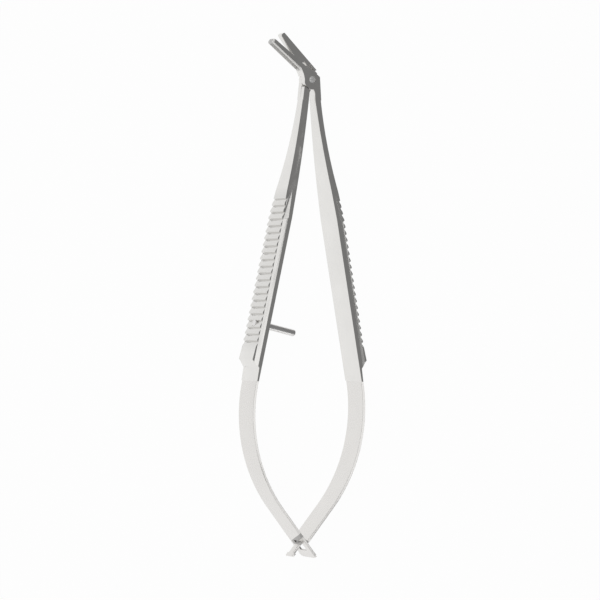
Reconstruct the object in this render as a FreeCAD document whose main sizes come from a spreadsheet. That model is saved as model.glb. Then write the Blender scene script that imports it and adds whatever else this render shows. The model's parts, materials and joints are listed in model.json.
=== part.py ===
import FreeCAD, Part
import Sketcher
import os

# Corneoscleral punch: two crossed halves on one pivot screw, with angled punch jaws at
# one end and bowed leaf springs, hooked into each other, at the other.
# The model is built about the pivot: +Z is the pivot axis with the screw head on top,
# +Y runs along the instrument towards the jaws, and the jaws lean towards -X.
# Heights called "station" are distances below the pivot, measured along the instrument.

doc = FreeCAD.newDocument("CorneoscleralPunch")
sheet = doc.addObject("Spreadsheet::Sheet", "Sizes")

# name, value in millimetres or degrees, what it sets
sizes = [
    # lap joint
    ("jointHeight", 2.35, "both halves together, along the pivot"),
    ("jointRadius", 1.95, "round lap of the punch half"),
    ("lapGap", 0.04, "running gap between the two laps"),
    ("cheekGap", 0.1, "between the lap's round edge and the full-depth part that it turns against"),
    ("turnClearance", 0.25, "between a lap and the full-depth parts that turn past it"),
    ("shankDiameter", 1.0, "pivot screw shank"),
    ("shankClearance", 0.03, "radial play of the shank in both halves"),
    ("headDiameter", 1.5, "pivot screw head"),
    ("headHeight", 0.34, "pivot screw head"),
    ("headProud", 0.08, "head above the face of the joint"),
    ("driverSlotWidth", 0.3, "slot in the head"),
    ("driverSlotDepth", 0.2, "slot in the head"),
    # slotted jaw
    ("slottedJawLean", 56.1, "from straight ahead"),
    ("jawReach", 12.3, "pivot to the front of the slotted jaw"),
    ("biteFaceHeight", 1.3, "pivot axis to the biting face of the slotted jaw"),
    ("lapTopHeight", 1.53, "pivot axis to the lap's edge beside the blade"),
    ("jawTipThickness", 0.9, "slotted jaw at its front"),
    ("jawRootThickness", 1.25, "slotted jaw where it leaves the joint"),
    ("jawRootReach", 4.2, "pivot to the root of the slotted jaw"),
    ("frontWall", 0.42, "closes the slot at the front"),
    ("slotRootReach", 3.7, "pivot to the inner end of the slot"),
    ("webHeight", 0.85, "web that ties the two rails at the root, above the pivot axis"),
    ("railEndRadius", 0.38, "rounded front corners"),
    ("bellyRadius", 0.32, "rounded lower edges of the slotted jaw"),
    # punch jaw
    ("openAngle", 17.2, "between the biting faces at rest"),
    ("bladeWidth", 1.45, "punch jaw, along the pivot"),
    ("bladeClearance", 0.05, "to each wall of the slot"),
    ("bladeEndClearance", 0.15, "punch tip to the front wall of the slot"),
    ("bladeFaceHeight", 0.45, "biting edge behind the pivot axis"),
    ("bladeHeelReach", 4.1, "pivot to the heel of the blade"),
    ("bladeRootReach", 2.95, "pivot to where the blade takes its full width"),
    ("bladeBackRoot", 1.9, "back of the blade at its root, above the pivot axis"),
    ("bladeBackTip", 0.5, "back of the blade at its tip, above the pivot axis"),
    ("bladeTipRadius", 0.3, "rounded tip"),
    # handles
    ("neckStation", 4.3, "joint ends and handle begins"),
    ("neckHalfGap", 0.8, "inner face from the middle plane"),
    ("neckWidth", 2.3, ""),
    ("neckThickness", 1.45, ""),
    ("shankStation", 16.9, "middle of the tapered shank"),
    ("shankHalfGap", 2.95, "inner face from the middle plane"),
    ("shankWidth", 4.4, ""),
    ("shankThickness", 1.65, ""),
    ("gripStart", 23.4, "first station of the straight grip"),
    ("gripHalfGap", 4.3245, "inner face from the middle plane at the grip's start"),
    ("gripStartWidth", 5.62, ""),
    ("gripStartThickness", 2.0, ""),
    ("gripFull", 29.5, "station where the grip has its full width"),
    ("gripWidth", 6.4, "also the width of the leaf springs"),
    ("gripThickness", 2.15, ""),
    ("gripEnd", 55.7, "station where the serrations end"),
    ("gripAngle", 11.85, "inner face of the grip from the middle plane"),
    ("padEnd", 58.8, "station of the raised end of the grip"),
    ("padSwell", 0.2, "added to the grip's thickness at its raised end"),
    ("padFoot", 60.5, "station where the end ramp meets the leaf"),
    ("bandThickness", 0.84, "square-sided inner layer of the grip"),
    ("crownThickness", 0.3, "square-sided outer layer that carries the serrations"),
    ("grindAllowance", 0.06, "left on the grip's sides before they are ground flat"),
    ("bevelInset", 0.45, "outer face narrower than the inner face, each side"),
    ("neckInset", 0.15, "same, at the neck"),
    ("shankInset", 0.55, "same, along the shank"),
    ("serrationCount", 22, ""),
    ("serrationPitch", 1.45, ""),
    ("serrationWidth", 0.95, ""),
    ("serrationDepth", 0.4, ""),
    # stop pin
    ("closeAngle", 13.6, "handles squeezed until the stop pin meets the other handle"),
    ("stopDistance", 52.8, "pivot to the stop pin, along the inner face of the grip"),
    ("stopDiameter", 1.42, ""),
    ("stopClearance", 0.02, "radial play of the pin in its hole"),
    ("stopTouchGap", 0.05, "left between pin and handle at the closed angle"),
    # leaf springs
    ("leafStart", 63.3, "station where the handle passes into the leaf"),
    ("leafThickness", 0.4, ""),
    ("bowRadius", 31.0, "inner face of the bowed part"),
    ("tailAngle", 40.0, "straight tail from the middle plane"),
    ("windowedEnd", 4.3, "crossing to the end of the windowed leaf"),
    ("windowWidth", 2.6, ""),
    ("windowBack", 0.4, "window edge before the crossing"),
    ("windowAhead", 2.3, "window edge beyond the crossing"),
    ("tongueClearance", 0.2, "to each side of the window"),
    ("shoulderGap", 0.1, "shoulders of the tongue to the windowed leaf"),
    ("tongueEnd", 3.9, "crossing to the end of the tongue"),
    ("hookLength", 0.8, "widened end of the tongue"),
    ("hookWidth", 3.1, ""),
    ("leafCornerRadius", 0.7, "corners at the free end of the windowed leaf"),
]
for row, (alias, number, meaning) in enumerate(sizes, start=1):
    sheet.set(f"A{row}", alias)
    sheet.set(f"B{row}", str(number))
    sheet.setAlias(f"B{row}", alias)
    sheet.set(f"C{row}", meaning)
doc.recompute()


def size(alias):
    """Expression for one cell of the sheet."""
    return f"Sizes.{alias}"


def number(expression):
    """Present value of an expression, in millimetres or degrees."""
    result = sheet.evalExpression(str(expression))
    return float(getattr(result, "Value", result))


def angle(alias):
    """Expression for a cell that holds degrees."""
    return f"(Sizes.{alias} * 1 deg)"


def new_body(name, label):
    body = doc.addObject("PartDesign::Body", name)
    body.Label = label
    return body


def new_sketch(body, name, role="XY_Plane", base=("0", "0", "0"), turn=None, axis=(0, 0, 1)):
    """Sketch on one of the body's own planes, moved by base and turned about axis."""
    sketch = body.newObject("Sketcher::SketchObject", name)
    plane = [part for part in body.Origin.OriginFeatures if part.Role == role][0]
    sketch.AttachmentSupport = [(plane, "")]
    sketch.MapMode = "FlatFace"
    start = FreeCAD.Vector(*[number(part) for part in base])
    degrees = number(turn) if turn else 0.0
    sketch.AttachmentOffset = FreeCAD.Placement(start, FreeCAD.Rotation(FreeCAD.Vector(*axis), degrees))
    for letter, part in zip("xyz", base):
        if part != "0":
            sketch.setExpression(f"AttachmentOffset.Base.{letter}", part)
    if turn:
        sketch.setExpression("AttachmentOffset.Rotation.Angle", turn)
    return sketch


def hold(sketch, direction, geometry, point, expression):
    """Dimension one point of the sketch from its origin."""
    index = sketch.addConstraint(
        Sketcher.Constraint(direction, -1, 1, geometry, point, number(expression)))
    sketch.setExpression(f"Constraints[{index}]", expression)


def draw_loop(sketch, corners, centres=None):
    """Closed outline through the corners; an edge with a centre is an arc about it."""
    centres = centres or {}
    places = [FreeCAD.Vector(number(x), number(y), 0) for x, y in corners]
    last = len(corners)
    for index in range(last):
        start = places[index]
        end = places[(index + 1) % last]
        if index in centres:
            (x, y), clockwise = centres[index]
            middle = FreeCAD.Vector(number(x), number(y), 0)
            circle = Part.Circle(middle, FreeCAD.Vector(0, 0, 1), (start - middle).Length)
            limits = [circle.parameter(start), circle.parameter(end)]
            if clockwise:
                limits.reverse()
            if limits[1] < limits[0]:
                limits[1] += 6.283185307179586
            sketch.addGeometry(Part.ArcOfCircle(circle, *limits))
        else:
            sketch.addGeometry(Part.LineSegment(start, end))
    for index in range(last):
        following = (index + 1) % last
        sketch.addConstraint(Sketcher.Constraint(
            "Coincident", index, end_point(index, centres), following, start_point(following, centres)))
    for index, (x, y) in enumerate(corners):
        point = start_point(index, centres)
        hold(sketch, "DistanceY", index, point, y)
        if (index - 1) % last not in centres:
            hold(sketch, "DistanceX", index, point, x)
    for index, ((x, y), clockwise) in centres.items():
        hold(sketch, "DistanceX", index, 3, x)
        hold(sketch, "DistanceY", index, 3, y)


def start_point(index, centres):
    return 2 if index in centres and centres[index][1] else 1


def end_point(index, centres):
    return 1 if index in centres and centres[index][1] else 2


def draw_circle(sketch, radius, x="0", y="0"):
    circle = Part.Circle(FreeCAD.Vector(number(x), number(y), 0), FreeCAD.Vector(0, 0, 1), number(radius))
    sketch.addGeometry(circle)
    index = sketch.addConstraint(Sketcher.Constraint("Radius", 0, number(radius)))
    sketch.setExpression(f"Constraints[{index}]", radius)
    if x == "0" and y == "0":
        sketch.addConstraint(Sketcher.Constraint("Coincident", 0, 3, -1, 1))
    else:
        hold(sketch, "DistanceX", 0, 3, x)
        hold(sketch, "DistanceY", 0, 3, y)


def pad(body, name, sketch, length, both_ways=False, down=False):
    feature = body.newObject("PartDesign::Pad", name)
    feature.Profile = sketch
    feature.setExpression("Length", length)
    feature.Midplane = both_ways
    feature.Reversed = down
    return finish(body, feature)


def pocket(body, name, sketch, length, both_ways=False, down=False):
    """Cut along the sketch's normal, or against it where down is set."""
    feature = body.newObject("PartDesign::Pocket", name)
    feature.Profile = sketch
    feature.setExpression("Length", length)
    feature.Midplane = both_ways
    feature.Reversed = not down
    before = body.Shape.Volume
    finish(body, feature)
    if body.Shape.Volume > before - 1e-6:
        raise ValueError(f"{name} cuts nothing")
    return feature


def loft(body, name, sections, ruled):
    feature = body.newObject("PartDesign::AdditiveLoft", name)
    feature.Profile = sections[0]
    feature.Sections = sections[1:]
    feature.Ruled = ruled
    return finish(body, feature)


def fillet(body, name, radius, chosen):
    """Round the edges of the body whose middles pass the test."""
    base = body.Tip
    names = [f"Edge{index}" for index, edge in enumerate(base.Shape.Edges, start=1) if chosen(edge)]
    if not names:
        raise ValueError(f"{name} finds no edge")
    feature = body.newObject("PartDesign::Fillet", name)
    feature.Base = (base, names)
    feature.setExpression("Radius", radius)
    return finish(body, feature)


def finish(body, feature):
    body.Tip = feature
    doc.recompute()
    if feature.Shape.isNull() or not feature.Shape.isValid():
        raise ValueError(f"{feature.Name} has no valid shape")
    return feature


# Lines that several pieces share, all for the right side of the instrument
halfHeight = "Sizes.jointHeight / 2"
gripSlope = f"tan({angle('gripAngle')})"
slottedTurn = "90 + Sizes.slottedJawLean"
bladeTurn = "90 + Sizes.slottedJawLean - Sizes.openAngle"
slotWidth = "(Sizes.bladeWidth + 2 * Sizes.bladeClearance)"
slotEnd = "(Sizes.jawReach - Sizes.frontWall)"
reliefRadius = "(Sizes.jointRadius + Sizes.turnClearance)"
leafStartX = f"(Sizes.gripHalfGap + (Sizes.leafStart - Sizes.gripStart) * {gripSlope})"
bowX = f"({leafStartX} - Sizes.bowRadius * cos({angle('gripAngle')}))"
bowY = f"(-Sizes.leafStart - Sizes.bowRadius * sin({angle('gripAngle')}))"
tailX = f"({bowX} + Sizes.bowRadius * cos({angle('tailAngle')}))"
tailY = f"({bowY} - Sizes.bowRadius * sin({angle('tailAngle')}))"
crossing = f"({tailX} / sin({angle('tailAngle')}))"
leafOuterX = (f"({bowX} + sqrt((Sizes.bowRadius + Sizes.leafThickness)^2"
              f" - (Sizes.bowRadius * sin({angle('gripAngle')}))^2))")


def half_gap(station):
    """Inner face of the grip from the middle plane."""
    return f"(Sizes.gripHalfGap + ({station} - Sizes.gripStart) * {gripSlope})"


def mirrored(side, points):
    """The same outline on the right side, 1, or the left side, -1."""
    return [(f"{side} * ({x})", y) for x, y in points]


def handle_section(body, name, side, station, gap, width, thickness, inset, band, crown, slanted=False,
                   share=None):
    """Inner band, bevels and square crown; a slanted side is one flat, and share splits the bevel."""
    sketch = new_sketch(body, name, "XZ_Plane", ("0", "0", station))
    top = f"({width}) / 2"
    inner = gap
    middle = f"{gap} + {band}"
    shoulder = f"{gap} + {thickness} - {crown}"
    outer = f"{gap} + {thickness}"
    narrow = f"({width}) / 2 - {inset}"
    edge = f"({width}) / 2 - {inset} * ({band}) / ({thickness} - {crown})" if slanted else top
    lower = [(inner, f"-({top})"), (middle, f"-({edge})")]
    upper = [(middle, edge), (inner, top)]
    if share:
        split_x = f"{middle} + {share} * ({thickness} - {crown} - {band})"
        split_z = f"({edge} + {share} * ({narrow} - ({edge})))"
        lower.append((split_x, f"-{split_z}"))
        upper.insert(0, (split_x, split_z))
    corners = lower + [(shoulder, f"-({narrow})"), (outer, f"-({narrow})"), (outer, narrow),
                       (shoulder, narrow)] + upper
    draw_loop(sketch, mirrored(side, corners))
    return sketch


def strip_section(body, name, side, station, inner, outer):
    """Plain rectangular section of the handle's thin end."""
    sketch = new_sketch(body, name, "XZ_Plane", ("0", "0", station))
    edge = "Sizes.gripWidth / 2"
    corners = [(inner, f"-{edge}"), (outer, f"-{edge}"), (outer, edge), (inner, edge)]
    draw_loop(sketch, mirrored(side, corners))
    return sketch


def add_handle(body, side):
    """Tapered shank, serrated grip with bevelled edges and the ramp down to the leaf."""
    grip_band = size("bandThickness")
    grip_crown = size("crownThickness")
    shank_sections = [
        handle_section(body, f"NeckSection{side + 1}", side, size("neckStation"), size("neckHalfGap"),
                       size("neckWidth"), size("neckThickness"), size("neckInset"),
                       "Sizes.neckThickness / 3", "Sizes.neckThickness / 6", slanted=True),
        handle_section(body, f"ShankSection{side + 1}", side, size("shankStation"), size("shankHalfGap"),
                       size("shankWidth"), size("shankThickness"), size("shankInset"),
                       "Sizes.shankThickness / 3", "Sizes.shankThickness / 6", slanted=True),
        handle_section(body, f"GripTopSection{side + 1}", side, size("gripStart"), size("gripHalfGap"),
                       size("gripStartWidth"), size("gripStartThickness"), size("shankInset"),
                       grip_band, grip_crown, slanted=True),
    ]
    loft(body, f"Shank{side + 1}", shank_sections, False)
    rough_width = "(Sizes.gripWidth + Sizes.grindAllowance)"
    wedge_sections = [
        handle_section(body, f"WedgeStartSection{side + 1}", side, size("gripStart"), size("gripHalfGap"),
                       size("gripStartWidth"), size("gripStartThickness"), size("shankInset"),
                       grip_band, grip_crown, slanted=True, share="0.03"),
        handle_section(body, f"WedgeEndSection{side + 1}", side, size("gripFull"),
                       half_gap(size("gripFull")), rough_width, size("gripThickness"),
                       size("bevelInset"), grip_band, grip_crown, share="0.97"),
    ]
    loft(body, f"Wedge{side + 1}", wedge_sections, True)
    swell = "Sizes.padSwell * (Sizes.padFoot - Sizes.gripEnd) / (Sizes.padEnd - Sizes.gripEnd)"
    grip_sections = [
        handle_section(body, f"GripFullSection{side + 1}", side, size("gripFull"),
                       half_gap(size("gripFull")), rough_width, size("gripThickness"),
                       size("bevelInset"), grip_band, grip_crown),
        handle_section(body, f"GripEndSection{side + 1}", side, size("gripEnd"),
                       half_gap(size("gripEnd")), rough_width, size("gripThickness"),
                       size("bevelInset"), grip_band, grip_crown),
        handle_section(body, f"PadSection{side + 1}", side, size("padFoot"),
                       half_gap(size("padFoot")), rough_width, f"(Sizes.gripThickness + {swell})",
                       size("bevelInset"), grip_band, f"({grip_crown} + {swell})"),
    ]
    loft(body, f"Grip{side + 1}", grip_sections, True)
    for end, down in (("", False), ("-", True)):
        word = "Lower" if down else "Upper"
        flat = new_sketch(body, f"{word}FlatSketch{side + 1}", base=("0", "0", f"{end}Sizes.gripWidth / 2"))
        far = f"({half_gap(size('padFoot'))} * 2)"
        near = "Sizes.neckHalfGap"
        draw_loop(flat, mirrored(side, [(near, "-Sizes.gripStart"), (far, "-Sizes.gripStart"),
                                        (far, "-Sizes.leafStart"), (near, "-Sizes.leafStart")]))
        pocket(body, f"{word}Flat{side + 1}", flat, "Sizes.gripWidth", down=down)
    strip_out = f"({half_gap(size('gripEnd'))} + Sizes.bandThickness)"
    strip_sections = [
        strip_section(body, f"StripSection{side + 1}", side, size("gripEnd"), half_gap(size("gripEnd")),
                      strip_out),
        strip_section(body, f"LeafRootSection{side + 1}", side, size("leafStart"), leafStartX, leafOuterX),
    ]
    loft(body, f"Strip{side + 1}", strip_sections, True)

    # ramp from the raised end of the grip down to the leaf
    foot_share = "(Sizes.padFoot - Sizes.gripEnd) / (Sizes.leafStart - Sizes.gripEnd)"
    foot_out = f"({strip_out} + {foot_share} * ({leafOuterX} - {strip_out}))"
    peak_out = f"({half_gap(size('padEnd'))} + Sizes.gripThickness + Sizes.padSwell)"
    beyond = f"({peak_out} + Sizes.gripThickness)"
    ramp = new_sketch(body, f"RampSketch{side + 1}")
    corners = [(foot_out, "-Sizes.padFoot"), (peak_out, "-Sizes.padEnd"), (beyond, "-Sizes.padEnd"),
               (beyond, "-Sizes.padFoot")]
    draw_loop(ramp, mirrored(side, corners))
    pocket(body, f"Ramp{side + 1}", ramp, "Sizes.gripWidth * 2", both_ways=True)
    add_serrations(body, side)


def add_serrations(body, side):
    """Transverse grooves across the outer face of the grip."""
    full_out = f"({half_gap(size('gripFull'))} + Sizes.gripThickness)"
    end_out = f"({half_gap(size('gripEnd'))} + Sizes.gripThickness)"
    slope = f"atan(({end_out} - {full_out}) / (Sizes.gripEnd - Sizes.gripFull))"
    sketch = new_sketch(body, f"SerrationSketch{side + 1}", "XY_Plane",
                        (f"{side} * {end_out}", "-Sizes.gripEnd", "0"), f"{side} * {slope}")
    root = "Sizes.serrationPitch * 0.42"
    lift = "Sizes.serrationDepth"
    corners = [("0 - Sizes.serrationDepth", root), (lift, f"{root} - Sizes.serrationWidth * 2"),
               (lift, f"{root} + Sizes.serrationWidth * 0.4")]
    draw_loop(sketch, mirrored(side, corners))
    groove = pocket(body, f"Groove{side + 1}", sketch, "Sizes.gripWidth * 2", both_ways=True)
    before = body.Shape.Volume
    pattern = body.newObject("PartDesign::LinearPattern", f"Serrations{side + 1}")
    pattern.Originals = [groove]
    pattern.Direction = (sketch, ["V_Axis"])
    pattern.setExpression("Length", "Sizes.serrationPitch * (Sizes.serrationCount - 1)")
    pattern.setExpression("Occurrences", "Sizes.serrationCount")
    finish(body, pattern)
    if body.Shape.Volume > before - 1e-6:
        raise ValueError("the serrations cut nothing")


def shaft_hole(body, name):
    sketch = new_sketch(body, f"{name}Sketch")
    draw_circle(sketch, "Sizes.shankDiameter / 2 + Sizes.shankClearance")
    pocket(body, name, sketch, "Sizes.jointHeight * 2", both_ways=True)


# Points of the joint's outline, right side
neckInner = ("Sizes.neckHalfGap", "-Sizes.neckStation")
neckOuter = ("Sizes.neckHalfGap + Sizes.neckThickness", "-Sizes.neckStation")
crotch = ("Sizes.neckHalfGap * 0.85", "-Sizes.neckStation * 0.65")
cheekRadius = f"({reliefRadius} - Sizes.cheekGap)"
notch = ("Sizes.neckHalfGap * 0.44", f"-sqrt({cheekRadius}^2 - (Sizes.neckHalfGap * 0.44)^2)")
cheek = ("-Sizes.jointRadius * 0.99", f"-sqrt({cheekRadius}^2 - (Sizes.jointRadius * 0.99)^2)")
flank = ("Sizes.jointRadius * 0.98", "-Sizes.jointRadius * 0.3")


def add_neck(body, side):
    """Full-depth stretch between the joint and the handle."""
    sketch = new_sketch(body, f"NeckSketch{side + 1}")
    outer_top = ("Sizes.jointRadius", "-Sizes.jointRadius * 0.8")
    draw_loop(sketch, mirrored(side, [notch, crotch, neckInner, neckOuter, outer_top]))
    pad(body, f"Neck{side + 1}", sketch, "Sizes.neckWidth", both_ways=True)


def make_slotted_half():
    """Right handle with the slotted lower jaw; its lap lies on the screw head's side."""
    side = 1
    body = new_body("SlottedHalf", "slotted_jaw_handle")
    lap = new_sketch(body, "SlottedLapSketch", base=("0", "0", "Sizes.lapGap / 2"))
    shoulder_left = ("-Sizes.jointRadius * 0.99", "Sizes.jointRadius * 0.62")
    lean = angle("slottedJawLean")
    face_at = "Sizes.jointRadius * 1.17"
    top = (f"Sizes.lapTopHeight * cos({lean}) - {face_at} * sin({lean})",
           f"Sizes.lapTopHeight * sin({lean}) + {face_at} * cos({lean})")
    right_x = "Sizes.jointRadius * 0.92"
    right = (right_x, f"(Sizes.lapTopHeight - {right_x} * cos({lean})) / sin({lean})")
    draw_loop(lap, [shoulder_left, cheek, notch, crotch, neckInner, neckOuter, flank, right, top],
              {1: (("0", "0"), False)})
    pad(body, "SlottedLap", lap, f"{halfHeight} - Sizes.lapGap / 2")
    add_neck(body, side)

    jaw = new_sketch(body, "SlottedJawSketch", turn=slottedTurn)
    face = "-Sizes.biteFaceHeight"
    root = "Sizes.jawRootReach"
    corners = [("Sizes.jointRadius * 0.6", face), ("Sizes.jawReach", face),
               ("Sizes.jawReach", "-(Sizes.biteFaceHeight - Sizes.jawTipThickness)"),
               (root, "-(Sizes.biteFaceHeight - Sizes.jawRootThickness)"),
               (f"{root} * 0.75", "-(Sizes.biteFaceHeight - Sizes.jawRootThickness) * 0.55"),
               ("Sizes.jointRadius * 1.2", "Sizes.jointRadius * 0.22"),
               ("Sizes.jointRadius * 0.81", "Sizes.jointRadius * 0.57"),
               ("Sizes.jointRadius * 0.5", "0")]
    draw_loop(jaw, corners)
    pad(body, "SlottedJaw", jaw, "Sizes.jointHeight", both_ways=True)
    add_handle(body, side)

    relief = new_sketch(body, "LapReliefSketch", base=("0", "0", "Sizes.lapGap / 2"))
    draw_circle(relief, reliefRadius)
    pocket(body, "LapRelief", relief, "Sizes.jointHeight", down=True)
    root_relief = new_sketch(body, "RootReliefSketch", base=("0", "0", "Sizes.lapGap / 2"), turn=slottedTurn)
    past_face = "-Sizes.lapTopHeight * 2"
    corners = [("0", "-Sizes.webHeight"), ("0", past_face),
               ("Sizes.slotRootReach - 2 * Sizes.turnClearance", past_face),
               ("Sizes.slotRootReach - 2 * Sizes.turnClearance", "-Sizes.webHeight")]
    draw_loop(root_relief, corners)
    pocket(body, "RootRelief", root_relief, "Sizes.jointHeight", down=True)

    slot = new_sketch(body, "SlotSketch", turn=slottedTurn)
    below = "Sizes.biteFaceHeight"
    heel = "Sizes.bladeRootReach - 5 * Sizes.turnClearance"
    corners = [(slotEnd, past_face), (slotEnd, below), ("Sizes.slotRootReach", below),
               ("Sizes.slotRootReach", "-Sizes.webHeight"), (heel, "-Sizes.webHeight"), (heel, past_face)]
    draw_loop(slot, corners)
    pocket(body, "Slot", slot, slotWidth, both_ways=True)
    shaft_hole(body, "SlottedHole")
    seat = new_sketch(body, "HeadSeatSketch", base=("0", "0", f"{halfHeight}"))
    draw_circle(seat, "Sizes.headDiameter / 2 + Sizes.shankClearance")
    pocket(body, "HeadSeat", seat, "Sizes.headHeight - Sizes.headProud", down=True)

    reach = number(size("jawReach"))
    turn = FreeCAD.Rotation(FreeCAD.Vector(0, 0, 1), -number(slottedTurn))
    edge_height = number(halfHeight)

    def front_corner(edge):
        middle = turn.multVec(edge.BoundBox.Center)
        across = abs(edge.BoundBox.ZLength) < 1e-6
        return across and abs(middle.x - reach) < 1e-4 and abs(abs(middle.z) - edge_height) < 1e-4

    def belly(edge):
        ends = [turn.multVec(vertex.Point) for vertex in edge.Vertexes]
        long = edge.Length > number("Sizes.jawReach / 3") and len(ends) == 2
        low = min(point.y for point in ends) > -number("Sizes.biteFaceHeight - Sizes.jawTipThickness") - 1e-4
        outer = all(abs(abs(point.z) - edge_height) < 1e-4 for point in ends)
        ahead = min(point.x for point in ends) > number("Sizes.jawRootReach") - 1e-4
        return long and low and outer and ahead

    fillet(body, "FrontCorners", "min(Sizes.railEndRadius; Sizes.frontWall * 0.9)", front_corner)
    fillet(body, "Belly", size("bellyRadius"), belly)
    return body


def make_punch_half():
    """Left handle with the punch jaw; its lap lies under the slotted half's."""
    side = -1
    body = new_body("PunchHalf", "punch_jaw_handle")
    lap = new_sketch(body, "PunchLapSketch", base=("0", "0", "-Sizes.lapGap / 2"))
    draw_circle(lap, "Sizes.jointRadius")
    pad(body, "PunchLap", lap, f"{halfHeight} - Sizes.lapGap / 2", down=True)
    link = new_sketch(body, "PunchLinkSketch", base=("0", "0", "-Sizes.lapGap / 2"))
    draw_loop(link, mirrored(side, [cheek, notch, crotch, neckInner, neckOuter, flank]),
              {0: (("0", "0"), True)})
    pad(body, "PunchLink", link, f"{halfHeight} - Sizes.lapGap / 2", down=True)
    add_neck(body, side)

    reach = "(Sizes.jawReach - Sizes.frontWall - Sizes.bladeEndClearance)"
    back_slope = f"((Sizes.bladeBackRoot - Sizes.bladeBackTip) / ({reach} - Sizes.bladeRootReach))"
    root = new_sketch(body, "BladeRootSketch", base=("0", "0", "-Sizes.lapGap / 2"), turn=bladeTurn)
    corners = [("Sizes.jointRadius * 0.5", "-Sizes.webHeight"), ("Sizes.bladeRootReach", "-Sizes.webHeight"),
               ("Sizes.bladeRootReach", "-Sizes.bladeBackRoot"),
               ("0", f"-min(Sizes.bladeBackRoot + {back_slope} * Sizes.bladeRootReach; Sizes.jointRadius * 1.2)"),
               ("-Sizes.jointRadius * 0.25", "-Sizes.jointRadius * 0.98"), ("0", "-Sizes.jointRadius * 0.5")]
    draw_loop(root, corners)
    pad(body, "BladeRoot", root, f"{halfHeight} - Sizes.lapGap / 2", down=True)
    blade = new_sketch(body, "BladeSketch", turn=bladeTurn)
    ridge = "(Sizes.lapTopHeight + Sizes.turnClearance)"
    ridge_start = "Sizes.bladeRootReach * 0.3"
    corners = [("Sizes.bladeRootReach", "-Sizes.webHeight"), ("Sizes.bladeHeelReach", "-Sizes.webHeight"),
               ("Sizes.bladeHeelReach", "Sizes.bladeFaceHeight"), (reach, "Sizes.bladeFaceHeight"),
               (reach, "-Sizes.bladeBackTip"),
               (ridge_start, f"-(Sizes.bladeBackRoot + {back_slope} * (Sizes.bladeRootReach - {ridge_start}))"),
               (ridge_start, f"-{ridge}"), ("Sizes.bladeRootReach", f"-{ridge}")]
    draw_loop(blade, corners)
    pad(body, "Blade", blade, "Sizes.bladeWidth", both_ways=True)
    add_handle(body, side)

    relief = new_sketch(body, "PunchReliefSketch", base=("0", "0", "-Sizes.lapGap / 2"))
    draw_circle(relief, reliefRadius)
    pocket(body, "PunchRelief", relief, "Sizes.jointHeight")
    shaft_hole(body, "PunchHole")

    hole = new_sketch(body, "StopHoleSketch", "YZ_Plane", stopBase, "-Sizes.gripAngle", (0, 1, 0))
    draw_circle(hole, "Sizes.stopDiameter / 2 + Sizes.stopClearance")
    pocket(body, "StopHole", hole, "Sizes.gripThickness * 3", both_ways=True)

    tip = number(reach)
    turn = FreeCAD.Rotation(FreeCAD.Vector(0, 0, 1), -number(bladeTurn))

    def tip_edge(edge):
        middle = turn.multVec(edge.BoundBox.Center)
        return abs(edge.BoundBox.ZLength - number(size("bladeWidth"))) < 1e-4 and abs(middle.x - tip) < 1e-4

    fillet(body, "BladeTip", "min(Sizes.bladeTipRadius; (Sizes.bladeBackTip + Sizes.bladeFaceHeight) * 0.45)",
           tip_edge)
    return body


# Stop pin: square to the left grip's inner face, riveted through the handle
stopX = f"(Sizes.stopDistance * sin({angle('gripAngle')}) - {gripSlope} * Sizes.gripStart + Sizes.gripHalfGap)"
stopStation = f"(Sizes.stopDistance * cos({angle('gripAngle')}))"
stopBase = (f"-{stopStation}", "0", f"-{half_gap(stopStation)}")


def make_stop_pin():
    """The pin is as long as the gap that the handles leave at the closed angle."""
    body = new_body("StopPin", "stop_pin")
    offset = f"((Sizes.gripStart * {gripSlope} - Sizes.gripHalfGap) * cos({angle('gripAngle')}))"
    between = "((2 * Sizes.gripAngle - Sizes.closeAngle) * 1 deg)"
    foot = f"({offset} / sin({between} / 2))"
    along = f"(Sizes.stopDistance - {offset} * sin({angle('gripAngle')}) - {foot} * cos({between} / 2))"
    reach = f"(({along} - Sizes.stopDiameter / 2) * tan({between}) - Sizes.stopTouchGap)"
    grown = "(Sizes.gripThickness * cos(Sizes.gripAngle * 1 deg))"
    sketch = new_sketch(body, "StopSketch", "YZ_Plane", stopBase, "-Sizes.gripAngle", (0, 1, 0))
    draw_circle(sketch, "Sizes.stopDiameter / 2")
    pad(body, "StopShaft", sketch, reach)
    rivet = new_sketch(body, "RivetSketch", "YZ_Plane", stopBase, "-Sizes.gripAngle", (0, 1, 0))
    draw_circle(rivet, "Sizes.stopDiameter / 2")
    pad(body, "StopRivet", rivet, grown, down=True)
    turn = FreeCAD.Rotation(FreeCAD.Vector(0, 0, 1), number(size("gripAngle")))
    end = max(turn.multVec(vertex.Point).x for vertex in body.Shape.Vertexes)
    fillet(body, "StopEnd", "Sizes.stopDiameter / 5",
           lambda edge: abs(turn.multVec(edge.BoundBox.Center).x - end) < 1e-4)
    return body


def make_pivot_screw():
    """Slotted screw: its head sits in the slotted half and its shank ends flush below."""
    body = new_body("PivotScrew", "pivot_screw")
    shaft = new_sketch(body, "ShankSketch", base=("0", "0", f"-({halfHeight})"))
    draw_circle(shaft, "Sizes.shankDiameter / 2")
    pad(body, "Shank", shaft, "Sizes.jointHeight + Sizes.headProud - Sizes.headHeight / 2")
    head = new_sketch(body, "HeadSketch", base=("0", "0", f"{halfHeight} + Sizes.headProud"))
    draw_circle(head, "Sizes.headDiameter / 2")
    pad(body, "Head", head, "Sizes.headHeight - Sizes.lapGap / 2", down=True)
    slot = new_sketch(body, "DriverSlotSketch", base=("0", "0", f"{halfHeight} + Sizes.headProud"))
    half = "Sizes.driverSlotWidth / 2"
    far = "Sizes.headDiameter"
    draw_loop(slot, [(f"-{far}", f"-{half}"), (far, f"-{half}"), (far, half), (f"-{far}", half)])
    pocket(body, "DriverSlot", slot, "Sizes.driverSlotDepth", down=True)
    return body


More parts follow.
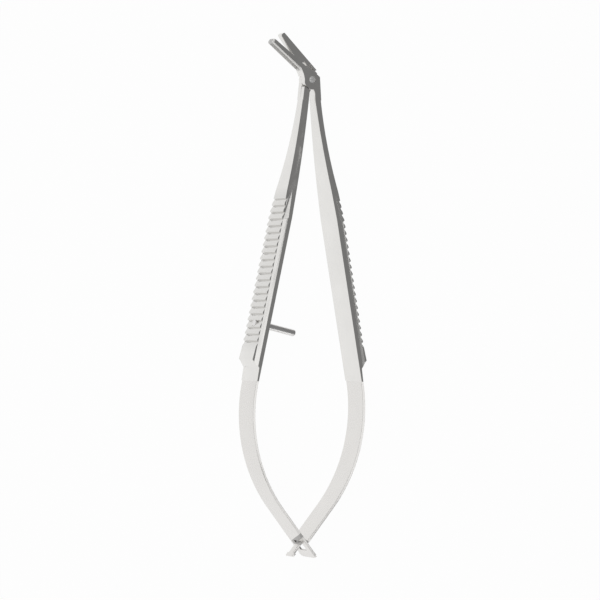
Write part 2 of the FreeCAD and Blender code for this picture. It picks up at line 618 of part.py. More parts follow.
def leaf_outline(side, end):
    """Bowed leaf and its straight tail, which ends at a distance past the bow."""
    lean = angle("tailAngle")
    thick = "Sizes.leafThickness"
    corners = [(leafStartX, "-Sizes.leafStart"), (tailX, tailY),
               (f"{tailX} - {end} * sin({lean})", f"{tailY} - {end} * cos({lean})"),
               (f"{tailX} - {end} * sin({lean}) + {thick} * cos({lean})",
                f"{tailY} - {end} * cos({lean}) - {thick} * sin({lean})"),
               (f"{tailX} + {thick} * cos({lean})", f"{tailY} - {thick} * sin({lean})"),
               (leafOuterX, "-Sizes.leafStart")]
    centre = (f"{side} * {bowX}", bowY)
    return mirrored(side, corners), {0: (centre, side > 0), 4: (centre, side < 0)}


def tail_block(body, name, side, start, end):
    """Sketch across the tail, from one distance past the bow to another."""
    sketch = new_sketch(body, name, base=(f"{side} * {tailX}", tailY, "0"),
                        turn=f"{side} * (0 - Sizes.tailAngle) - 90")
    thick = "Sizes.leafThickness"
    return sketch, [(start, "0"), (end, "0"), (end, f"{side} * {thick}"), (start, f"{side} * {thick}")]


def make_windowed_leaf():
    """Left leaf spring: its tail has a window that the other leaf's tongue passes through."""
    side = -1
    body = new_body("WindowedLeaf", "windowed_leaf_spring")
    plan = new_sketch(body, "WindowedPlan")
    draw_loop(plan, *leaf_outline(side, f"({crossing} + Sizes.windowedEnd)"))
    pad(body, "WindowedStrip", plan, "Sizes.gripWidth", both_ways=True)
    window, corners = tail_block(body, "WindowSketch", side, f"({crossing} - Sizes.windowBack)",
                                 f"({crossing} + Sizes.windowAhead)")
    reach = "Sizes.leafThickness * 2"
    corners = [(corners[0][0], f"-{reach}"), (corners[1][0], f"-{reach}"),
               (corners[2][0], reach), (corners[3][0], reach)]
    draw_loop(window, corners)
    pocket(body, "Window", window, size("windowWidth"), both_ways=True)
    low = min(vertex.Y for vertex in body.Shape.Vertexes)
    thick = number(size("leafThickness"))
    fillet(body, "FreeCorners", size("leafCornerRadius"),
           lambda edge: abs(edge.Length - thick) < 1e-4 and edge.BoundBox.YMin < low + thick
           and abs(edge.BoundBox.Center.z) > number("Sizes.gripWidth / 2") - 1e-4)
    return body


def make_tongued_leaf():
    """Right leaf spring: its tail narrows to a tongue with a widened end."""
    side = 1
    body = new_body("TonguedLeaf", "tongued_leaf_spring")
    plan = new_sketch(body, "TonguedPlan")
    shoulder = f"({crossing} - Sizes.shoulderGap)"
    tongue_end = f"({crossing} + Sizes.tongueEnd)"
    draw_loop(plan, *leaf_outline(side, shoulder))
    pad(body, "TonguedStrip", plan, "Sizes.gripWidth", both_ways=True)
    tongue, corners = tail_block(body, "TongueSketch", side, f"({shoulder} - Sizes.leafThickness)", tongue_end)
    draw_loop(tongue, corners)
    pad(body, "Tongue", tongue, "Sizes.windowWidth - 2 * Sizes.tongueClearance", both_ways=True)
    hook, corners = tail_block(body, "HookSketch", side, f"({tongue_end} - Sizes.hookLength)", tongue_end)
    draw_loop(hook, corners)
    pad(body, "Hook", hook, size("hookWidth"), both_ways=True)
    return body


bodies = [make_slotted_half(), make_punch_half(), make_pivot_screw(), make_stop_pin(),
          make_windowed_leaf(), make_tongued_leaf()]

# The origin is under the middle of the instrument, on the surface that it lies on
whole = Part.makeCompound([body.Shape for body in bodies]).optimalBoundingBox(False, False)
for body in bodies:
    body.Placement.Base = FreeCAD.Vector(-whole.Center.x, -whole.Center.y, -whole.ZMin)
doc.recompute()

for item in doc.Objects:
    if "Invalid" in item.State or "Error" in item.State:
        raise ValueError(f"{item.Name} is {item.State}")
os.makedirs("parts", exist_ok=True)
for body in bodies:
    shape = body.Shape
    if shape.isNull() or not shape.isValid():
        raise ValueError(f"{body.Label} has no valid shape")
    print(body.Label, "solids", len(shape.Solids), "volume", round(shape.Volume, 3))
    shape.exportStep(f"parts/{body.Label}.step")
print("pivot at", round(-whole.Center.x, 5), round(-whole.Center.y, 5), round(-whole.ZMin, 5))
print("size", round(whole.XLength, 2), round(whole.YLength, 2), round(whole.ZLength, 2))
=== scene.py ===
import bpy, bmesh, json, math
from mathutils import Matrix, Vector


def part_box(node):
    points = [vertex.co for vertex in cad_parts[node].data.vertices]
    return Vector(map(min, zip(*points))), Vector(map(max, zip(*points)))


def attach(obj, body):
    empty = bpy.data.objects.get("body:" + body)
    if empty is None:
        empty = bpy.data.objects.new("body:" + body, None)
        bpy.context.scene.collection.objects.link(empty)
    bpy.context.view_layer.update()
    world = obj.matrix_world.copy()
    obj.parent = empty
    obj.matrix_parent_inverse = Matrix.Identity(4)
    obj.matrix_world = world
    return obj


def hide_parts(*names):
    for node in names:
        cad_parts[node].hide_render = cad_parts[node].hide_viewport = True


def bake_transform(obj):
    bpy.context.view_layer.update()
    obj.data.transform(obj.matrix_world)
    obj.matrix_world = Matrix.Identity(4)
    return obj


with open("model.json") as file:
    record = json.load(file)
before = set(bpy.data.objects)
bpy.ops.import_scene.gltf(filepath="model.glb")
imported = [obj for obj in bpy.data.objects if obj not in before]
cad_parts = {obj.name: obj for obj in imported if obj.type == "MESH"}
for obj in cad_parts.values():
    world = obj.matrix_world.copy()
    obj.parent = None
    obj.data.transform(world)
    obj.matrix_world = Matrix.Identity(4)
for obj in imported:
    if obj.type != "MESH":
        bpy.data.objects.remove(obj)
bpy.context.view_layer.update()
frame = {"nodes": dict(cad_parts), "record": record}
mm = 0.001  # lengths below are in millimetres and angles in degrees, unless a note says otherwise
nearly = 1e-7  # metres: places nearer than this count as one
pivot = Vector(frame["record"]["behaviour"]["joints"][0]["pos_m"])
print("frame loaded")


# small helpers for working by hand

def clearSelection():
    if bpy.context.object and bpy.context.object.mode != "OBJECT":
        bpy.ops.object.mode_set(mode="OBJECT")
    bpy.ops.object.select_all(action="DESELECT")


def pick(obj):
    clearSelection()
    obj.select_set(True)
    bpy.context.view_layer.objects.active = obj


def editMesh(obj):
    mesh = bmesh.from_edit_mesh(obj.data)
    mesh.verts.ensure_lookup_table()
    mesh.faces.ensure_lookup_table()
    return mesh


def named(name):
    obj = bpy.context.object
    obj.name = name
    obj.data.name = name
    return obj


def settle(obj):  # the place goes into the mesh
    pick(obj)
    bpy.ops.object.transform_apply(location=True, rotation=True, scale=True)


def addModifier(obj, kind, **settings):
    pick(obj)
    bpy.ops.object.modifier_add(type=kind)
    modifier = obj.modifiers[-1]
    for key, value in settings.items():
        setattr(modifier, key, value)
    bpy.ops.object.modifier_apply(modifier=modifier.name)


def carve(obj, tool, operation="DIFFERENCE"):
    addModifier(obj, "BOOLEAN", operation=operation, object=tool, solver="EXACT")
    bpy.data.objects.remove(tool)


easing = dict(sharpAngle=24, smoothAngle=34)


# keep tells which edges are left square
def softenEdges(obj, width, segments, angle=easing["sharpAngle"], keep=lambda edge: False):
    pick(obj)
    bpy.ops.object.mode_set(mode="EDIT")
    bpy.ops.mesh.select_mode(type="EDGE")
    bpy.ops.mesh.select_all(action="DESELECT")
    for edge in editMesh(obj).edges:
        if len(edge.link_faces) == 2 and edge.calc_face_angle() > math.radians(angle) and not keep(edge):
            edge.select_set(True)
    bmesh.update_edit_mesh(obj.data)
    bpy.ops.mesh.bevel(offset=width * mm, segments=segments, profile=0.5, affect="EDGES", clamp_overlap=True)
    bpy.ops.mesh.select_mode(type="VERT")
    bpy.ops.object.mode_set(mode="OBJECT")
    bpy.ops.object.shade_smooth_by_angle(angle=math.radians(easing["smoothAngle"]))


def moveVert(obj, index, place):
    mesh = editMesh(obj)
    step = place - mesh.verts[index].co
    for vert in mesh.verts:
        vert.select_set(False)
    mesh.verts[index].select_set(True)
    if step.length > nearly / 100:
        bpy.ops.transform.translate(value=step)


# shader writing

class Wire:  # a socket, with arithmetic
    def __init__(self, tree, socket):
        self.tree = tree
        self.socket = socket

    def combine(self, operation, first, second):
        node = self.tree.nodes.new("ShaderNodeMath")
        node.operation = operation
        for index, value in enumerate((first, second)):
            if isinstance(value, Wire):
                self.tree.links.new(value.socket, node.inputs[index])
            else:
                node.inputs[index].default_value = value
        return Wire(self.tree, node.outputs[0])

    def __abs__(self):
        return self.combine("ABSOLUTE", self, 0.0)

    def __add__(self, other):
        return self.combine("ADD", self, other)

    def __radd__(self, other):
        return self.combine("ADD", other, self)

    def __sub__(self, other):
        return self.combine("SUBTRACT", self, other)

    def __rsub__(self, other):
        return self.combine("SUBTRACT", other, self)

    def __mul__(self, other):
        return self.combine("MULTIPLY", self, other)

    def __rmul__(self, other):
        return self.combine("MULTIPLY", other, self)


class Finish:  # one material and its nodes
    def __init__(self, name):
        self.material = bpy.data.materials.new(name)
        self.material.use_nodes = True
        self.tree = self.material.node_tree
        self.shader = self.tree.nodes["Principled BSDF"]

    def join(self, value, socket):  # a link or a fixed value
        if isinstance(value, Wire):
            self.tree.links.new(value.socket, socket)
        else:
            socket.default_value = value

    def node(self, kind, settings=None, output=0, **values):  # i0, i1 and so on are sockets by number
        node = self.tree.nodes.new(kind)
        for key, value in (settings or {}).items():
            if key == "stops":
                ramp = node.color_ramp.elements
                for index, (place, tone) in enumerate(value):
                    mark = ramp[index] if index < len(ramp) else ramp.new(place)
                    mark.position = place
                    mark.color = (tone, tone, tone, 1)
            else:
                setattr(node, key, value)
        for key, value in values.items():
            self.join(value, node.inputs[int(key[1:]) if key[1:].isdigit() else key])
        return Wire(self.tree, node.outputs[output])

    def feed(self, name, value):
        self.join(value, self.shader.inputs[name])


# sizes of the two leaves, which the finishes need too

leaf = dict(start=63.3, width=6.4, thickness=0.4, radius=31.0, gripAngle=11.85, tailAngle=40.0,
            gripHalfGap=4.3245, gripStart=23.4, steps=40, tailSteps=8, slant=0.30, edge=0.05, edgeSteps=3,
            edgeAngle=50, rootReach=0.002)


def leafLine():  # inner face of the right leaf: points with their outward directions
    grip = math.radians(leaf["gripAngle"])
    tail = math.radians(leaf["tailAngle"])
    startX = leaf["gripHalfGap"] + (leaf["start"] - leaf["gripStart"]) * math.tan(grip)
    spoke = Vector((math.cos(grip), math.sin(grip), 0))
    centre = Vector((startX, -leaf["start"], 0)) - spoke * leaf["radius"]
    bow = []
    for step in range(leaf["steps"] + 1):
        angle = (tail + grip) * step / leaf["steps"] - grip
        outward = Vector((math.cos(angle), -math.sin(angle), 0))
        bow.append((centre + outward * leaf["radius"], outward))
    return bow, bow[-1][0].x / math.sin(tail)


def crossingDepth():  # below the pivot
    bow, crossing = leafLine()
    return crossing * math.cos(math.radians(leaf["tailAngle"])) - bow[-1][0].y


def atLeafRoot(edge):
    level = pivot.y - leaf["start"] * mm
    return all(abs(vert.co.y - level) < leaf["rootReach"] * mm for vert in edge.verts)


# places where the steel is darker, matte or left as cut, and where shade is painted on the leaves

zones = dict(
    slot=dict(lean=56.1, half=0.81, back=3.2, soft=0.02, softBack=0.2),
    tongue=dict(low=-0.9, high=0.4, soft=0.08),
    window=dict(skew=0.42, low=-1.2, high=-0.15, soft=0.06, bottom=-2.4, softBottom=0.1),
    recess=dict(lean=38.9, near=0.4, far=3.4, left=1.1, right=3.0, top=0.68, soft=0.1, softTop=0.02),
    grip=dict(out=0.7, first=23.5, last=56.5, soft=0.1, softEnds=1.0),
)


def apart(finish, place, axes):
    return [finish.node("ShaderNodeSeparateXYZ", output=axis, i0=place) for axis in axes]


def turnAt(finish, value, limit, soft, before, after):  # from one share to the other, softly
    return finish.node("ShaderNodeMapRange", i0=value, i1=(limit - soft) * mm, i2=(limit + soft) * mm,
                       i3=before, i4=after)


def above(finish, value, limit, soft):
    return turnAt(finish, value, limit, soft, 0.0, 1.0)


def below(finish, value, limit, soft):
    return turnAt(finish, value, limit, soft, 1.0, 0.0)


def between(finish, value, low, high, soft):
    return above(finish, value, low, soft) * below(finish, value, high, soft)


def slotWalls(finish, place):  # the die slot is sparked, not polished
    zone = zones["slot"]
    x, y, z = apart(finish, place, "XYZ")
    lean = math.radians(zone["lean"])
    depth = (y - pivot.y) * math.cos(lean) - x * math.sin(lean)
    return (below(finish, abs(z - pivot.z), zone["half"], zone["soft"])
            * above(finish, depth, zone["back"], zone["softBack"]))


def paintedTongueShade(finish, place):  # painted shade: the tongue is darker, and matte, where it passes through the window between the leaves
    zone = zones["tongue"]
    x, y = apart(finish, place, "XY")
    lean = math.radians(leaf["tailAngle"])
    along = x * math.sin(lean) + (y - (pivot.y - crossingDepth() * mm)) * math.cos(lean)
    return between(finish, along, zone["low"], zone["high"], zone["soft"])


def paintedWindowShade(finish, place):  # painted shade: a darker band across the windowed leaf beside the crossing of the tongue
    zone = zones["window"]
    x, y, z = apart(finish, place, "XYZ")
    lean = math.radians(leaf["tailAngle"])
    along = x * math.sin(lean) - (y - (pivot.y - crossingDepth() * mm)) * math.cos(lean)
    level = z - pivot.z
    return (between(finish, along + level * zone["skew"], zone["low"], zone["high"], zone["soft"])
            * above(finish, level, zone["bottom"], zone["softBottom"]))


def rootRecess(finish, place):  # left as cut, behind the blade's root
    zone = zones["recess"]
    x, y, z = apart(finish, place, "XYZ")
    lean = math.radians(zone["lean"])
    along = (y - pivot.y) * math.cos(lean) - x * math.sin(lean)
    across = (y - pivot.y) * math.sin(lean) + x * math.cos(lean)
    return (between(finish, along, zone["near"], zone["far"], zone["soft"])
            * between(finish, across, zone["left"], zone["right"], zone["soft"])
            * below(finish, z - pivot.z, zone["top"], zone["softTop"]))


def gripFlats(finish, place):  # the serrated outer faces
    zone = zones["grip"]
    x, y = apart(finish, place, "XY")
    run = pivot.y - y
    out = abs(x) - run * math.tan(math.radians(leaf["gripAngle"]))
    return (above(finish, out, zone["out"], zone["soft"])
            * between(finish, run, zone["first"], zone["last"], zone["softEnds"]))


# satin steel: noises as scale, detail and roughness, and how far each one shows

satin = dict(stretch=(3.2, 0.10, 3.2), fine=(2600.0, 3.0, 0.6), broad=(210.0, 4.0, 0.55),
             pits=(5200.0, 2.0, 0.5), hairline=(760.0, 2.0, 0.4),
             markStops=((0.60, 0.0), (0.68, 1.0)), wearStops=((0.34, 0.0), (0.70, 1.0)),
             darkest=0.90, lightest=1.08, markDark=0.01,
             wearRough=0.07, fineRough=0.10, markRough=0.025, matteRough=0.3,
             fineRelief=0.5, pitRelief=0.3, markRelief=0.1, bump=0.10, bumpDepth=0.03, specular=0.5)


def noise(finish, place, name):
    scale, detail, roughness = satin[name]
    return finish.node("ShaderNodeTexNoise", Vector=place, Scale=scale, Detail=detail, Roughness=roughness)


def blendTones(finish, share, first, second):
    return finish.node("ShaderNodeMix", {"data_type": "RGBA"}, output=2, i0=share, i6=first, i7=second)


def toned(tone, share):
    return [min(part * share, 1.0) for part in tone] + [1]


def steelFinish(name, tone, roughness, grain, mottle, turn=0, metal=1.0, patches=()):
    finish = Finish(name)
    place = finish.node("ShaderNodeTexCoord", output="Object")
    along = finish.node("ShaderNodeMapping", Vector=place, Rotation=(0, 0, math.radians(turn)),
                        Scale=satin["stretch"])
    fine = noise(finish, along, "fine")
    broad = noise(finish, place, "broad")
    pits = noise(finish, place, "pits")
    hairline = noise(finish, along, "hairline")
    marks = finish.node("ShaderNodeValToRGB", {"stops": satin["markStops"]}, i0=hairline)
    wear = finish.node("ShaderNodeValToRGB", {"stops": satin["wearStops"]}, i0=broad)
    shade = (fine - 0.5) * grain + (wear - 0.5) * mottle - marks * satin["markDark"]
    colour = blendTones(finish, shade + 0.5, toned(tone, satin["darkest"]), toned(tone, satin["lightest"]))
    rough = (roughness + (wear - 0.5) * satin["wearRough"] + (fine - 0.5) * satin["fineRough"]
             + marks * satin["markRough"])
    for zone, keep, matte in patches:
        mask = zone(finish, place)
        colour = blendTones(finish, mask, colour, toned(tone, keep))
        if matte:
            rough = rough + mask * (satin["matteRough"] * matte)
            metal = metal - mask * matte
    relief = fine * satin["fineRelief"] + pits * satin["pitRelief"] + marks * satin["markRelief"]
    bump = finish.node("ShaderNodeBump", Strength=satin["bump"], Distance=satin["bumpDepth"] * mm,
                       Height=relief)
    finish.feed("Metallic", metal)
    finish.feed("Base Color", colour)
    finish.feed("Roughness", rough)
    finish.feed("Normal", bump)
    finish.feed("Specular IOR Level", satin["specular"])
    return finish.material


def paint(obj, material):
    obj.data.materials.clear()
    obj.data.materials.append(material)


finishes = {  # a patch is a zone, the share of the tone that it keeps, and how matte it is
    "slotted": dict(tone=(0.795, 0.785, 0.765), roughness=0.19, grain=0.30, mottle=0.30,
                    patches=((slotWalls, 1.0, 0.9), (rootRecess, 1.0, 0.8))),
    "punch": dict(tone=(0.795, 0.785, 0.765), roughness=0.19, grain=0.30, mottle=0.30,
                  patches=((gripFlats, 0.90, 0), (rootRecess, 1.0, 0.8))),
    "tongued": dict(tone=(0.785, 0.77, 0.75), roughness=0.28, grain=0.20, mottle=0.20,
                    # painted shade on the tongue where it passes through the window
                    patches=((paintedTongueShade, 0.95, 0.8),)),
    "windowed": dict(tone=(0.785, 0.77, 0.75), roughness=0.28, grain=0.20, mottle=0.20,
                     # painted shade across the windowed leaf beside the crossing
                     patches=((paintedWindowShade, 0.5, 0),)),
    "screw": dict(tone=(0.90, 0.90, 0.89), roughness=0.40, grain=0.15, mottle=0.2, metal=0.5),
    "pin": dict(tone=(0.80, 0.79, 0.78), roughness=0.34, grain=0.2, mottle=0.2, turn=78),
}
steels = {name: steelFinish(name + "Steel", **facts) for name, facts in finishes.items()}
print("finishes made")


# the two halves: forged shapes with eased edges

forging = dict(edge=0.09, segments=3, mergeReach=0.001, flatAngle=0.6, handleStart=20.0, facetAngles=(2, 24))
halves = {
    "slotted_jaw_handle": dict(piece="slottedHalf", body="slotted_half", steel="slotted"),
    "punch_jaw_handle": dict(piece="punchHalf", body="punch_half", steel="punch"),
}


def markHandleFacets(obj):  # flats of the handle stay flat
    lowest, highest = (math.radians(angle) for angle in forging["facetAngles"])
    bpy.ops.mesh.select_mode(type="EDGE")
    bpy.ops.mesh.select_all(action="DESELECT")
    for edge in editMesh(obj).edges:
        if edge.verts[0].co.y < pivot.y - forging["handleStart"] * mm and len(edge.link_faces) == 2:
            edge.select_set(lowest < edge.calc_face_angle() < highest)
    bpy.ops.mesh.mark_sharp()
    bpy.ops.mesh.select_mode(type="VERT")


def forgedHalf(node, piece, body, steel):
    source = frame["nodes"][node]
    source.hide_set(False)
    pick(source)
    bpy.ops.object.duplicate()
    obj = named(piece)
    for key in list(obj.keys()):
        if key.startswith("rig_"):
            del obj[key]
    obj.parent = None
    pick(obj)
    bpy.ops.object.mode_set(mode="EDIT")
    bpy.ops.mesh.select_all(action="SELECT")
    bpy.ops.mesh.remove_doubles(threshold=forging["mergeReach"] * mm)
    bpy.ops.mesh.dissolve_limited(angle_limit=math.radians(forging["flatAngle"]),
                                  use_dissolve_boundaries=False)
    markHandleFacets(obj)
    bpy.ops.object.mode_set(mode="OBJECT")
    softenEdges(obj, forging["edge"], forging["segments"], keep=atLeafRoot)
    paint(obj, steels[steel])
    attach(obj, body)
    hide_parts(node)


for node, facts in halves.items():
    forgedHalf(node, **facts)
print("halves made")


# pivot screw

screw = dict(headRadius=0.75, headHeight=0.34, proud=0.08, dome=1.4, shankRadius=0.5, slotWidth=0.14,
             slotDepth=0.16, slotReach=1.3, half=1.175, sides=64, domeSides=96, edge=0.03, edgeSteps=3)


def domedHead(top):
    clearSelection()
    bpy.ops.mesh.primitive_cylinder_add(vertices=screw["sides"], radius=screw["headRadius"] * mm,
                                        depth=screw["headHeight"] * mm,
                                        location=top - Vector((0, 0, screw["headHeight"] / 2 * mm)))
    head = named("pivotScrew")
    settle(head)
    clearSelection()
    bpy.ops.mesh.primitive_uv_sphere_add(segments=screw["domeSides"], ring_count=screw["domeSides"],
                                         radius=screw["dome"] * mm,
                                         location=top - Vector((0, 0, screw["dome"])) * mm)
    ball = named("domeTool")
    settle(ball)
    carve(head, ball, "INTERSECT")
    return head


def cutDriverSlot(head, top):
    reach = screw["headRadius"] * screw["slotReach"]
    low = top + Vector((-reach, -screw["slotWidth"] / 2, -screw["slotDepth"])) * mm
    high = top + Vector((reach, screw["slotWidth"] / 2, screw["headRadius"])) * mm
    clearSelection()
    bpy.ops.mesh.primitive_cube_add(size=1, location=(low + high) / 2, scale=high - low)
    slot = named("slotTool")
    settle(slot)
    carve(head, slot)


def drawShank(head, top):
    pick(head)
    bpy.ops.object.mode_set(mode="EDIT")
    under = (top - Vector((0, 0, screw["headHeight"] * mm))).z
    bpy.ops.mesh.select_all(action="DESELECT")
    for face in editMesh(head).faces:
        if face.normal.z < -0.9 and abs(face.calc_center_median().z - under) < nearly:
            face.select_set(True)
    share = screw["shankRadius"] / screw["headRadius"]
    drop = (screw["half"] * 2 + screw["proud"] - screw["headHeight"]) * mm
    bpy.ops.mesh.extrude_region_move()
    bpy.ops.transform.resize(value=(share, share, 1), center_override=(pivot.x, pivot.y, under))
    bpy.ops.mesh.extrude_region_move(TRANSFORM_OT_translate={"value": (0, 0, -drop)})
    bpy.ops.object.mode_set(mode="OBJECT")


def makeScrew():
    top = pivot + Vector((0, 0, (screw["half"] + screw["proud"]) * mm))
    head = domedHead(top)
    cutDriverSlot(head, top)
    drawShank(head, top)
    softenEdges(head, screw["edge"], screw["edgeSteps"])
    paint(head, steels["screw"])
    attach(head, "punch_half")
    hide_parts("pivot_screw")


makeScrew()
print("screw made")


# stop pin

stop = dict(radius=0.71, angle=11.85, sides=48, tipRound=0.22, tipSteps=5, edge=0.06, edgeSteps=2,
            edgeAngle=50)


def makeStopPin():
    low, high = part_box("stop_pin")
    lean = math.radians(stop["angle"])
    along = Vector((math.cos(lean), -math.sin(lean), 0))
    middle = (low + high) / 2
    span = (high.x - low.x - 2 * stop["radius"] * mm * math.sin(lean)) / math.cos(lean)
    clearSelection()
    bpy.ops.mesh.primitive_cylinder_add(vertices=stop["sides"], radius=stop["radius"] * mm, depth=span,
                                        location=middle)
    pin = named("stopPin")
    pin.rotation_euler = along.to_track_quat("Z", "Y").to_euler()
    settle(pin)
    pick(pin)
    bpy.ops.object.mode_set(mode="EDIT")
    mesh = editMesh(pin)
    bpy.ops.mesh.select_all(action="DESELECT")
    for vert in mesh.verts:  # the free end is rounded
        if (vert.co - middle).dot(along) > 0:
            vert.select_set(True)
    mesh.select_flush_mode()
    bmesh.update_edit_mesh(pin.data)
    bpy.ops.mesh.bevel(offset=stop["tipRound"] * mm, segments=stop["tipSteps"], profile=0.5)
    bpy.ops.object.mode_set(mode="OBJECT")
    softenEdges(pin, stop["edge"], stop["edgeSteps"], angle=stop["edgeAngle"])
    paint(pin, steels["pin"])
    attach(pin, "punch_half")
    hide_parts("stop_pin")


makeStopPin()
print("stop pin made")


# leaf springs

windowed = dict(end=4.3, windowWidth=2.6, back=0.4, ahead=2.3, toolDepth=2.4, corner=0.7, cornerSteps=6,
                cornerReach=0.05, cornerRise=0.01)
tongued = dict(shoulderGap=0.1, tongue=2.2, end=3.9, hookLength=0.8, hookWidth=3.1)


def leafSection(point, outward, width, side, square=False):
    inner = Vector((point.x * side, point.y, 0))
    push = Vector((outward.x * side, outward.y, 0)) * leaf["thickness"]
    if square:  # the root meets the handle on a level line
        push = Vector((side * leaf["thickness"] / outward.x, 0, 0))
    outer = inner + push
    half = Vector((0, 0, width / 2))
    short = Vector((0, 0, width / 2 - leaf["slant"]))  # both strips are ground from the same side
    near, far = (half, short) if side < 0 else (short, half)
    return [pivot + place * mm for place in (inner - near, outer - far, outer + far, inner + near)]


def runThrough(name, sections):  # a plane drawn from section to section
    clearSelection()
    bpy.ops.mesh.primitive_plane_add(size=mm, location=(0, 0, 0))
    obj = named(name)
    bpy.ops.object.mode_set(mode="EDIT")
    loop = [vert.index for vert in editMesh(obj).faces[0].verts]
    for index, place in zip(loop, sections[0]):
        moveVert(obj, index, place)
    for section in sections[1:]:
        bpy.ops.mesh.select_all(action="DESELECT")
        mesh = editMesh(obj)
        for index in loop:
            mesh.verts[index].select_set(True)
        mesh.select_flush_mode()
        count = len(mesh.verts)
        before = [mesh.verts[index].co.copy() for index in loop]
        bpy.ops.mesh.extrude_region_move()
        mesh = editMesh(obj)
        fresh = range(count, len(mesh.verts))
        loop = [min(fresh, key=lambda index: (mesh.verts[index].co - place).length) for place in before]
        for index, place in zip(loop, section):
            moveVert(obj, index, place)
    bpy.ops.mesh.select_all(action="SELECT")
    bpy.ops.mesh.remove_doubles(threshold=nearly)
    bpy.ops.mesh.normals_make_consistent(inside=False)
    bpy.ops.object.mode_set(mode="OBJECT")
    return obj


def makeLeaf(name, side, tail):
    bow, crossing = leafLine()
    angle = math.radians(leaf["tailAngle"])
    ahead = Vector((-math.sin(angle), -math.cos(angle), 0))
    point, outward = bow[-1]
    sections = [leafSection(*bow[0], leaf["width"], side, square=True)]
    sections += [leafSection(place, way, leaf["width"], side) for place, way in bow[1:]]
    for distance, width in tail(crossing):
        sections.append(leafSection(point + ahead * distance, outward, width, side))
    return runThrough(name, sections), point, ahead, crossing


def finishLeaf(obj, steel, node):
    softenEdges(obj, leaf["edge"], leaf["edgeSteps"], angle=leaf["edgeAngle"], keep=atLeafRoot)
    paint(obj, steels[steel])
    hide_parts(node)
    end = pivot - Vector((0, 2 * crossingDepth() - leaf["start"], 0)) * mm
    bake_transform(obj)


def windowedTail(crossing):
    stops = [crossing * step / leaf["tailSteps"] for step in range(1, leaf["tailSteps"])]
    return [(place, leaf["width"]) for place in stops + [crossing + windowed["end"]]]


def tonguedTail(crossing):
    shoulder = crossing - tongued["shoulderGap"]
    stops = [shoulder * step / leaf["tailSteps"] for step in range(1, leaf["tailSteps"] + 1)]
    end = crossing + tongued["end"]
    neck = end - tongued["hookLength"]
    return ([(place, leaf["width"]) for place in stops]
            + [(shoulder, tongued["tongue"]), (neck, tongued["tongue"]), (neck, tongued["hookWidth"]),
               (end, tongued["hookWidth"])])


def cutWindow(obj, middle):
    clearSelection()
    bpy.ops.mesh.primitive_cube_add(size=1, location=pivot + Vector((-middle.x, middle.y, 0)) * mm,
                                    scale=Vector((windowed["toolDepth"], windowed["back"] + windowed["ahead"],
                                                  windowed["windowWidth"])) * mm)
    window = named("windowTool")
    window.rotation_euler.z = math.radians(leaf["tailAngle"])
    settle(window)
    carve(obj, window)


def roundFreeCorners(obj, point, ahead):
    def runOf(place):  # along the tail, from the end of the bow
        offset = place - pivot
        return (Vector((-offset.x, offset.y, 0)) / mm - point).dot(ahead)

    pick(obj)
    bpy.ops.object.mode_set(mode="EDIT")
    bpy.ops.mesh.select_all(action="DESELECT")
    mesh = editMesh(obj)
    tip = max(runOf(vert.co) for vert in mesh.verts) - windowed["cornerReach"]
    outermost = (leaf["width"] / 2 - leaf["slant"] * 0.75) * mm
    for edge in mesh.edges:  # the two slanted edges through the thickness
        first, last = (vert.co for vert in edge.verts)
        middle = (first + last) / 2
        through = (first - last).xy.length > leaf["thickness"] * 0.9 * mm
        slanted = abs(first.z - last.z) > windowed["cornerRise"] * mm
        if through and slanted and runOf(middle) > tip and abs(middle.z - pivot.z) > outermost:
            edge.select_set(True)
    bpy.ops.mesh.bevel(offset=windowed["corner"] * mm, segments=windowed["cornerSteps"], profile=0.5,
                       affect="EDGES")
    bpy.ops.object.mode_set(mode="OBJECT")


def makeWindowedLeaf():
    obj, point, ahead, crossing = makeLeaf("windowedLeaf", -1, windowedTail)
    cutWindow(obj, point + ahead * (crossing + (windowed["ahead"] - windowed["back"]) / 2))
    roundFreeCorners(obj, point, ahead)
    finishLeaf(obj, "windowed", "windowed_leaf_spring")


def makeTonguedLeaf():
    obj = makeLeaf("tonguedLeaf", 1, tonguedTail)[0]
    finishLeaf(obj, "tongued", "tongued_leaf_spring")


makeWindowedLeaf()
makeTonguedLeaf()
print("leaf springs made")


# floor, light and camera: floor and lamps are in metres

backdrop = dict(size=6, tone=0.93, roughness=0.9, seen=0.97, mirrored=0.97, through=0.9, world=0.22)


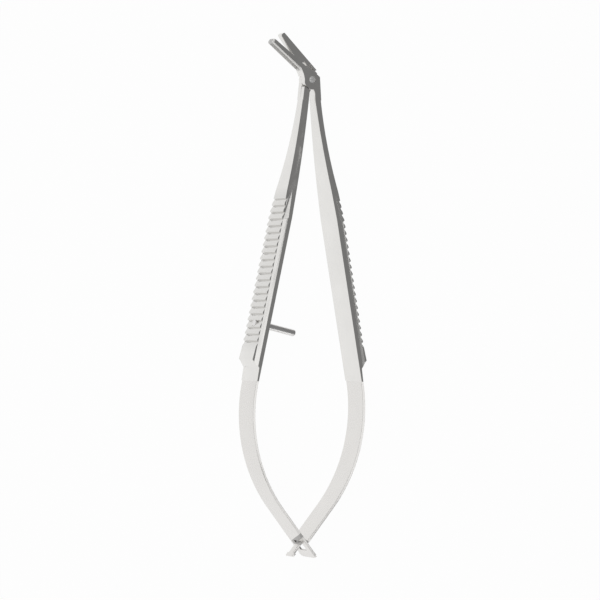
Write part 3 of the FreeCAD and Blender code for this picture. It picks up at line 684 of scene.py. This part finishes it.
def makeFloor():
    clearSelection()
    bpy.ops.mesh.primitive_plane_add(size=backdrop["size"], location=(0, 0, 0))
    floor = named("floor")
    finish = Finish("paleFloor")
    finish.feed("Base Color", [backdrop["tone"]] * 3 + [1])
    finish.feed("Roughness", backdrop["roughness"])
    seen = finish.node("ShaderNodeLightPath", output="Is Camera Ray")
    mirrored = finish.node("ShaderNodeLightPath", output="Is Glossy Ray")
    through = finish.node("ShaderNodeLightPath", output="Is Transmission Ray")
    share = seen * backdrop["seen"] + mirrored * backdrop["mirrored"] + through * backdrop["through"]
    surface = Wire(finish.tree, finish.shader.outputs[0])
    glow = finish.node("ShaderNodeEmission")
    mix = finish.node("ShaderNodeMixShader", i0=share, i1=surface, i2=glow)
    finish.join(mix, finish.tree.nodes["Material Output"].inputs[0])
    paint(floor, finish.material)


def makeWorld():
    world = bpy.data.worlds.new("studio")
    world.use_nodes = True
    back = world.node_tree.nodes["Background"]
    back.inputs[0].default_value = [backdrop["world"]] * 3 + [1]
    back.inputs[1].default_value = 1.0
    bpy.context.scene.world = world


lamps = dict(  # soft boxes that the steel mirrors
    softFront=dict(place=(-0.62, 0.04, 0.785), wide=1.30, tall=0.87, power=3.05),
    softBase=dict(place=(-0.34, -0.75, 0.60), wide=0.5, tall=0.5, power=0.65),
    softHead=dict(place=(-0.38, 0.84, 0.66), wide=0.45, tall=0.5, power=0.56),
    softLow=dict(place=(0.30, -0.95, 0.40), wide=0.5, tall=0.5, power=1.2),
)


def makeLamp(name, place, wide, tall, power):
    clearSelection()
    bpy.ops.object.light_add(type="AREA", location=place)
    lamp = bpy.context.object
    lamp.name = name
    lamp.data.shape = "RECTANGLE"
    lamp.data.size = wide
    lamp.data.size_y = tall
    lamp.data.energy = power
    lamp.rotation_euler = (-Vector(place)).to_track_quat("-Z", "Y").to_euler()


view = dict(turn=31.9, roll=1.31, field=12.5, across=-1.16, depth=46.3, distance=575.0, clipStart=10.0)


def makeCamera():
    turn = math.radians(view["turn"])
    roll = math.radians(view["roll"])
    back = Vector((-math.sin(turn), 0, math.cos(turn)))
    right = Vector((math.cos(turn), 0, math.sin(turn)))
    up = back.cross(right)
    side = right * math.cos(roll) + up * math.sin(roll)
    top = up * math.cos(roll) - right * math.sin(roll)
    aim = pivot + Vector((view["across"], -view["depth"], 0)) * mm
    clearSelection()
    bpy.ops.object.camera_add(location=aim + back * view["distance"] * mm)
    camera = bpy.context.object
    camera.rotation_euler = Matrix((side, top, back)).transposed().to_euler()
    camera.data.angle = math.radians(view["field"])
    camera.data.clip_start = view["clipStart"] * mm
    bpy.context.scene.camera = camera


makeFloor()
makeWorld()
for name, facts in lamps.items():
    makeLamp(name, **facts)
makeCamera()
bpy.context.scene.view_settings.view_transform = "Standard"
print("stage made")
